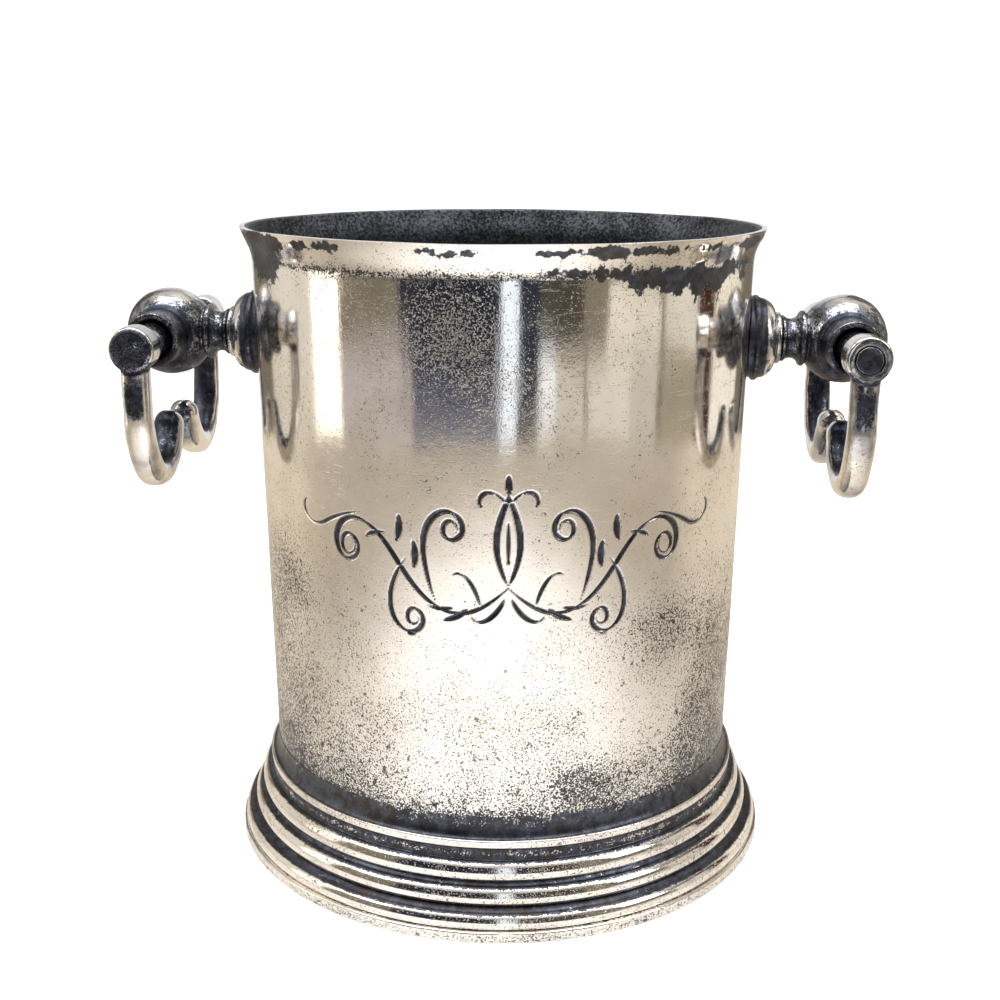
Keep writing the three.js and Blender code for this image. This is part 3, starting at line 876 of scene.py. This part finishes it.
class Shader:
    """A short way to build the nodes of a material, or of another owner such as a world."""

    def __init__(self, name, owner=None):
        self.material = owner or bpy.data.materials.new(name)
        self.material.use_nodes = True
        self.tree = self.material.node_tree
        self.tree.nodes.clear()
        self.way = self.node("ShaderNodeTexCoord").outputs
        self.place = self.way["Object"]

    def node(self, kind, inputs=None, **settings):
        made = self.tree.nodes.new(kind)
        for key, value in settings.items():
            setattr(made, key, value)
        self.feed(made, inputs or {})
        return made

    def feed(self, made, inputs):
        """Links or sets a node's inputs."""
        for socket, value in inputs.items():
            if isinstance(value, bpy.types.NodeSocket):
                self.tree.links.new(value, made.inputs[socket])
            else:
                made.inputs[socket].default_value = value

    def attribute(self, name):
        return self.node("ShaderNodeAttribute", attribute_name=name).outputs["Fac"]

    def stretched(self, scale):
        return self.node("ShaderNodeMapping", {"Vector": self.place, "Scale": scale}).outputs[0]

    def noise(self, scale, detail=3.0, roughness=0.55, vector=None):
        inputs = {"Vector": vector or self.place, "Scale": scale, "Detail": detail,
                  "Roughness": roughness}
        return self.node("ShaderNodeTexNoise", inputs).outputs["Fac"]

    def math(self, operation, a, b=0.0):
        return self.node("ShaderNodeMath", {0: a, 1: b}, operation=operation).outputs[0]

    def add(self, a, b):
        return self.math("ADD", a, b)

    def times(self, a, b):
        return self.math("MULTIPLY", a, b)

    def plus(self, a, b, weight):
        """a, with b added by its weight."""
        return self.add(a, self.times(b, weight))

    def ragged(self, mask, *breaks):
        """Breaks up a mask's edges. Each break is a noise, how far from its middle it counts,
        and how far it moves the mask."""
        for noise_value, spread, shift in breaks:
            moved = self.fade(noise_value, 0.5 - spread, 0.5 + spread, -shift, shift)
            mask = self.add(mask, moved)
        return mask

    def most(self, a, b):
        return self.math("MAXIMUM", a, b)

    def fade(self, value, low, high, start=0.0, stop=1.0):
        """Eases from start to stop as the value goes from low to high."""
        inputs = {"Value": value, "From Min": low, "From Max": high, "To Min": start,
                  "To Max": stop}
        return self.node("ShaderNodeMapRange", inputs, interpolation_type="SMOOTHSTEP").outputs[0]

    def mix(self, factor, a, b):
        made = self.node("ShaderNodeMix", data_type="RGBA")
        self.feed(made, {0: factor, 6: a, 7: b})
        return made.outputs[2]

    def surface(self, colour, metal, rough, height, relief):
        """Ends the material. relief is how far the height lifts the surface, in metres."""
        bump = self.node("ShaderNodeBump", {"Height": height, "Distance": relief, "Strength": 1.0})
        inputs = {"Base Color": colour, "Metallic": metal, "Roughness": rough,
                  "Normal": bump.outputs[0]}
        return self.ended(self.node("ShaderNodeBsdfPrincipled", inputs))

    def glowing(self, colour, strength):
        return self.ended(self.node("ShaderNodeEmission", {"Color": colour, "Strength": strength}))

    def ended(self, shader):
        self.node("ShaderNodeOutputMaterial", {"Surface": shader.outputs[0]})
        return self.material


CLEAN_SILVER = (0.90, 0.865, 0.825, 1)
WARM_SILVER = (0.74, 0.67, 0.57, 1)
# Dark patina tones, which also paint the shade and the dark reflections that the pieces mark.
BLUE_PATINA_AND_SHADE = (0.012, 0.015, 0.028, 1)
BROWN_PATINA_AND_SHADE = (0.034, 0.026, 0.021, 1)
GREY_PATINA_AND_SHADE = (0.060, 0.070, 0.098, 1)
GREY_MIST = (0.20, 0.215, 0.25, 1)


def aged_silver(name, tarnish, grime, shine, haze, grain):
    """Old silver: worn bright on crests, warm film, fine dark pits, dark patina in its recesses,
    and painted shade and painted dark reflections where the pieces mark them.

    tarnish is the warm film's strength, grime adds pits all over, shine is the roughness of
    clean metal, haze a thin grey-blue film over patches of it, and grain how far the edges of
    dark areas break up into dots."""
    s = Shader(name)
    broad = s.noise(22, 3)
    cloud = s.noise(70, 4, 0.6)
    fine = s.noise(1650, 2.0, 0.6)
    coarse = s.noise(430, 3, 0.62)
    speckle = s.attribute("speckle")
    density = s.add(s.add(speckle, grime), s.fade(broad, 0.35, 0.68, -0.22, 0.22))
    dots = s.fade(s.plus(fine, density, 0.16), 0.645, 0.70)
    blots = s.fade(s.plus(coarse, density, 0.10), 0.685, 0.73)
    pits = s.times(s.most(dots, blots), s.fade(density, 0.0, 0.9, 0.62, 0.94))
    patina_and_shade = s.attribute("patina_and_shade")
    # hollow holds dark patina in real recesses together with painted shade and painted dark
    # reflections: undersides, creases, gaps between parts, hole mouths and the loops' outer faces.
    hollow = s.ragged(patina_and_shade, (fine, 0.18, grain), (coarse, 0.2, 0.16), (cloud, 0.2, 0.12))
    hollow = s.times(s.fade(hollow, 0.36, 0.66), 0.96)
    stain = s.ragged(s.attribute("stain"), (cloud, 0.18, 0.36), (coarse, 0.2, 0.12))
    stain = s.times(s.fade(stain, 0.50, 0.60), 0.95)
    engraved = s.attribute("engraved")
    dark = s.most(s.most(hollow, pits), s.most(stain, s.times(engraved, 0.97)))
    film = s.times(s.fade(s.plus(broad, cloud, 0.5), 0.55, 1.0), tarnish)
    colour = s.mix(film, CLEAN_SILVER, WARM_SILVER)
    mist = s.fade(s.plus(s.noise(48, 3, 0.6), patina_and_shade, 0.35), 0.42, 0.72, 0.0, haze)
    colour = s.mix(mist, colour, GREY_MIST)
    patina_and_shade_colour = s.mix(s.fade(cloud, 0.42, 0.72), BLUE_PATINA_AND_SHADE, BROWN_PATINA_AND_SHADE)
    worn = s.fade(s.plus(s.noise(260, 4, 0.65), broad, 0.3), 0.55, 0.78, 0.0, 0.9)
    patina_and_shade_colour = s.mix(worn, patina_and_shade_colour, GREY_PATINA_AND_SHADE)
    colour = s.mix(dark, colour, patina_and_shade_colour)
    rough = s.fade(cloud, 0.3, 0.7, shine * 0.75, shine * 1.35)
    rough = s.plus(rough, dark, 0.26)
    brushed = s.noise(1.0, 3, 0.6, s.stretched((520, 520, 22)))
    scratches = s.fade(s.noise(1.0, 2, 0.5, s.stretched((90, 90, 1900))), 0.66, 0.72)
    uneven = s.noise(320, 4, 0.62)
    grit = s.times(fine, s.fade(speckle, 0.0, 1.0, 0.10, 0.6))
    height = s.times(pits, -0.75)
    for relief, weight in ((uneven, 0.17), (grit, -0.6), (brushed, 0.10), (scratches, -0.05),
                           (hollow, -0.20)):
        height = s.plus(height, relief, weight)
    return s.surface(colour, 1.0, rough, height, 0.00011)


def dull_interior(name):
    """The unpolished inside: dark grey metal, grainy and stained, with painted shade deeper down
    and round the floor's edge.
    """
    s = Shader(name)
    grain = s.noise(900, 4, 0.65)
    cloud = s.noise(60, 4, 0.6)
    light = s.fade(s.plus(grain, cloud, 0.4), 0.58, 0.88)
    colour = s.mix(light, (0.010, 0.011, 0.014, 1), (0.12, 0.13, 0.15, 1))
    # Painted shade: darker where the mask is high, deep inside the bucket and round the floor
    # plate's edge.
    colour = s.mix(s.times(s.attribute("patina_and_shade"), 0.8), colour, (0.014, 0.015, 0.017, 1))
    rough = s.fade(grain, 0.3, 0.7, 0.38, 0.62)
    return s.surface(colour, 0.85, rough, s.plus(grain, cloud, 0.6), 0.0003)


def two_tone(name, metal, tones, patches, grain, rough, relief):
    """A plain material: two tones in soft patches, and a fine grain on its surface.

    patches holds a noise's scale and detail and where the second tone starts and is full."""
    s = Shader(name)
    scale, detail, low, high = patches
    colour = s.mix(s.fade(s.noise(scale, detail), low, high), *tones)
    grain = s.noise(grain, 4)
    return s.surface(colour, metal, s.fade(grain, 0.3, 0.7, *rough), grain, relief)


def plated_steel(name):
    """Zinc-plated steel with a little dirt."""
    tones = (0.56, 0.57, 0.58, 1), (0.30, 0.27, 0.22, 1)
    return two_tone(name, 1.0, tones, (160, 3, 0.4, 0.75), 700, (0.28, 0.45), 0.00008)


def black_rubber(name):
    """Matt black rubber with a fine grain and a dusty bloom."""
    tones = (0.012, 0.012, 0.013, 1), (0.05, 0.05, 0.048, 1)
    return two_tone(name, 0.0, tones, (120, 3, 0.45, 0.8), 1400, (0.62, 0.85), 0.0001)


def pale_floor(name):
    """The white table top that catches the shadow."""
    tones = (0.93, 0.93, 0.92, 1), (0.90, 0.89, 0.87, 1)
    return two_tone(name, 0.0, tones, (140, 4, 0.35, 0.7), 140, (0.55, 0.7), 0.0001)


# ---- studio

def add_stage(name, verts, faces, material, hide_from):
    """Adds a surface of the studio, in metres, that the named kinds of rays do not see."""
    mesh = bpy.data.meshes.new(name)
    mesh.from_pydata(verts, [], faces)
    stage = bpy.data.objects.new(name, mesh)
    bpy.context.scene.collection.objects.link(stage)
    mesh.materials.append(material)
    for ray in hide_from:
        setattr(stage, "visible_" + ray, False)


ONLY_REFLECTED = ("camera", "diffuse", "shadow", "transmission", "volume_scatter")
ROOM_R = 1.2


def add_card(name, start, stop, low, high, colour, strength):
    """A curved card of the room round the table. Degrees run from the front towards +X."""
    count = max(2, int((stop - start) / 3))
    angles = np.radians(np.linspace(start, stop, count + 1))
    x, y = ROOM_R * np.sin(angles), -ROOM_R * np.cos(angles)
    verts = [(a, b, low) for a, b in zip(x, y)] + [(a, b, high) for a, b in zip(x, y)]
    faces = [(k, k + 1, count + 2 + k, count + 1 + k) for k in range(count)]
    add_stage(name, verts, faces, Shader(name).glowing((*colour, 1), strength), ONLY_REFLECTED)


def add_disc(name, radius, z, material, hide_from, sides=96):
    ring = [(radius * math.cos(a), radius * math.sin(a), z) for a in full_turn(sides)]
    add_stage(name, ring, [tuple(range(sides))], material, hide_from)


def table_glow():
    """What the metal sees of the white table: brightest in front, fading to its edge."""
    s = Shader("table_glow")
    x, y = s.node("ShaderNodeSeparateXYZ", {0: s.place}).outputs[:2]
    forward = s.add(y, 0.27)
    gap = s.math("SQRT", s.add(s.times(x, x), s.times(forward, forward)))
    warm = s.fade(gap, 0.06, 0.46)
    colour = s.mix(warm, (1.0, 0.98, 0.96, 1), (0.88, 0.77, 0.62, 1))
    strength = s.fade(gap, 0.03, 0.42, 1.55, 0.62)
    strength = s.add(strength, s.fade(y, -0.12, 0.12, 0.0, 0.30))
    return s.glowing(colour, strength)


def add_area(name, place_at, aim, size, power, colour=(1, 1, 1)):
    """A rectangular soft light, in metres and watts."""
    data = bpy.data.lights.new(name, "AREA")
    data.shape = "RECTANGLE"
    data.size, data.size_y = size
    data.energy = power
    data.color = colour
    lamp = bpy.data.objects.new(name, data)
    lamp.location = place_at
    lamp.rotation_euler = (Vector(aim) - Vector(place_at)).to_track_quat("-Z", "Y").to_euler()
    bpy.context.scene.collection.objects.link(lamp)


def add_world():
    """A dim room with a bright ceiling for the metal, and a white surround for all else."""
    world = bpy.data.worlds.new("studio")
    s = Shader("studio", world)
    up = s.node("ShaderNodeSeparateXYZ", {0: s.way["Generated"]}).outputs["Z"]
    ceiling = s.fade(up, 0.45, 0.85, 0.16, 0.9)
    room = s.node("ShaderNodeBackground", {"Color": (0.95, 0.93, 0.90, 1), "Strength": ceiling})
    white = s.node("ShaderNodeBackground", {"Color": (1, 1, 1, 1), "Strength": 1.25})
    glossy = s.node("ShaderNodeLightPath").outputs["Is Glossy Ray"]
    mixed = s.node("ShaderNodeMixShader", {0: glossy, 1: white.outputs[0], 2: room.outputs[0]})
    s.node("ShaderNodeOutputWorld", {"Surface": mixed.outputs[0]})
    bpy.context.scene.world = world


def add_studio():
    """The white table, the room that the metal mirrors, and three soft lights."""
    add_world()
    add_disc("floor", 4.0, 0.0, pale_floor("pale_floor"), ("glossy",))
    add_disc("table_reflection", 0.74, -0.0005, table_glow(), ONLY_REFLECTED, sides=128)
    cream, brown = (1.0, 0.93, 0.80), (0.42, 0.36, 0.27)
    pink, khaki, dark = (1.0, 0.90, 0.86), (0.46, 0.40, 0.29), (0.10, 0.11, 0.16)
    black = (0.045, 0.05, 0.075)
    # Name, from and to in degrees, low and high in metres, colour and strength
    cards = [
        ("left_far", -150, -124, -0.5, 1.1, brown, 0.5),
        ("left_cream", -124, -88, -0.5, 1.2, cream, 0.80),
        ("left_window", -88, -71, -0.5, 1.3, cream, 1.8),
        ("left_khaki", -71, -41, -0.012, 0.9, khaki, 0.45),
        ("left_pink", -71, -36, -0.5, -0.012, pink, 0.55),
        ("dark_front", -41, 2, -0.06, 0.9, black, 0.5),
        ("dark_front_low", -36, 2, -0.5, -0.06, dark, 1.3),
        ("slit", 2, 9, -0.5, 0.9, (0.82, 0.90, 1.0), 1.35),
        ("dark_middle", 9, 18, -0.5, 0.9, black, 0.7),
        ("right_khaki_dark", 18, 37, -0.012, 0.9, khaki, 0.15),
        ("right_khaki", 37, 48, -0.012, 0.9, khaki, 0.50),
        ("right_box_white", 18, 25, -0.5, -0.012, (0.95, 0.97, 1.0), 1.15),
        ("right_box_low", 25, 38, -0.5, -0.012, cream, 0.72),
        ("right_box_line", 38, 39.5, -0.5, -0.012, brown, 0.5),
        ("right_box_next", 39.5, 60, -0.5, -0.012, cream, 0.78),
        ("right_box", 48, 74, -0.012, 0.07, cream, 0.95),
        ("right_box_shade", 60, 74, -0.5, -0.012, cream, 0.62),
        ("right_post", 74, 76.5, -0.5, 0.9, brown, 0.55),
        ("right_panel", 76.5, 97, -0.01, 0.5, cream, 0.80),
        ("right_panel_low", 76.5, 97, -0.5, -0.01, khaki, 0.85),
        ("red_strip", 97, 109, -0.5, 0.9, (0.10, 0.03, 0.02), 0.5),
        ("right_window", 109, 135, -0.5, 1.2, cream, 1.0),
        ("right_far", 135, 160, -0.5, 1.1, brown, 0.45),
        ("back", 160, 210, -0.5, 1.0, (0.97, 0.97, 1.0), 0.85),
    ]
    for card in cards:
        add_card(*card)
    add_area("overhead", (0.0, -0.15, 1.5), (0, 0, 0.1), (1.6, 1.2), 21)
    add_area("left_soft", (-1.3, -0.5, 1.0), (0, 0, 0.12), (0.8, 0.9), 12, (1, 0.97, 0.93))
    add_area("right_soft", (1.3, -0.6, 1.0), (0, 0, 0.12), (0.6, 0.9), 10)
    bpy.context.scene.view_settings.view_transform = "Standard"


CAMERA_PLACE = (0.0274, -0.5062, 0.2628)
CAMERA_TURN = (3.18, 15.085, 0.25)  # heading, pitch down and roll, in degrees
CAMERA_LENS = 49.56


def add_camera():
    heading, pitch, roll = (math.radians(a) for a in CAMERA_TURN)
    forward = Vector((-math.sin(heading) * math.cos(pitch), math.cos(heading) * math.cos(pitch),
                      -math.sin(pitch)))
    right = forward.cross(Vector((0, 0, 1))).normalized()
    up = right.cross(forward)
    right, up = (right * math.cos(roll) + up * math.sin(roll),
                 up * math.cos(roll) - right * math.sin(roll))
    data = bpy.data.cameras.new("camera")
    data.lens = CAMERA_LENS
    data.sensor_width = 36
    data.clip_start = 0.01
    camera = bpy.data.objects.new("camera", data)
    turn = Matrix((right, up, -forward)).transposed().to_4x4()
    camera.matrix_world = Matrix.Translation(CAMERA_PLACE) @ turn
    bpy.context.scene.collection.objects.link(camera)
    bpy.context.scene.camera = camera


# ---- assembly

def attach(piece, node, body, material):
    """Lets a piece stand for its CAD node, ride on that node's body and take its finish."""
    piece.data.materials.clear()
    piece.data.materials.append(material)
    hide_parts(node)
    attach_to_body(piece, body)


def make_side(side, turn, silver, steel, rubber):
    """One handle with its post and fixings."""
    body = side + "_handle"
    attach(make_rosette(side, turn), side + "_rosette", "bucket", silver)
    attach(make_knuckle(side, turn), side + "_knuckle", "bucket", silver)
    attach(make_pin(side, turn), side + "_pivot_pin", body, silver)
    for end, world_facing in (("front", -1), ("rear", 1)):
        facing = world_facing if side == "right" else -world_facing
        loop = make_loop(side, end, facing, turn)
        attach(loop, f"{side}_{end}_loop", body, silver)
    seal = make_ring(side, "sealing_washer", turn)
    attach(seal, side + "_sealing_washer", "bucket", rubber)
    attach(make_ring(side, "washer", turn), side + "_washer", "bucket", steel)
    attach(make_bolt(side, turn), side + "_fixing_bolt", "bucket", steel)


def make_bucket():
    """The wall, floor and foot, with the wall's unpolished inside in its own material."""
    silver = aged_silver(
        "bucket_silver", tarnish=0.6, grime=0.0, shine=0.085, haze=0.10, grain=0.40)
    wall = make_wall()
    attach(wall, "bucket_wall", "bucket", silver)
    inside = dull_interior("bucket_interior_metal")
    wall.data.materials.append(inside)
    shade = wall.data.attributes["inside"]
    for face in wall.data.polygons:
        if all(shade.data[v].value > 0.5 for v in face.vertices):
            face.material_index = 1
    floor = make_floor()
    attach(floor, "floor_plate", "bucket", inside)
    foot = aged_silver("foot_silver", tarnish=0.6, grime=0.05, shine=0.09, haze=0.15, grain=0.26)
    attach(make_foot(), "foot_ring", "bucket", foot)


make_bucket()
handle = aged_silver("handle_silver", tarnish=0.5, grime=0.0, shine=0.13, haze=0.85, grain=0.16)
steel = plated_steel("plated_steel")
rubber = black_rubber("black_rubber")
for side, turn in (("left", HALF_TURN), ("right", STILL)):
    make_side(side, turn, handle, steel, rubber)
add_studio()
add_camera()
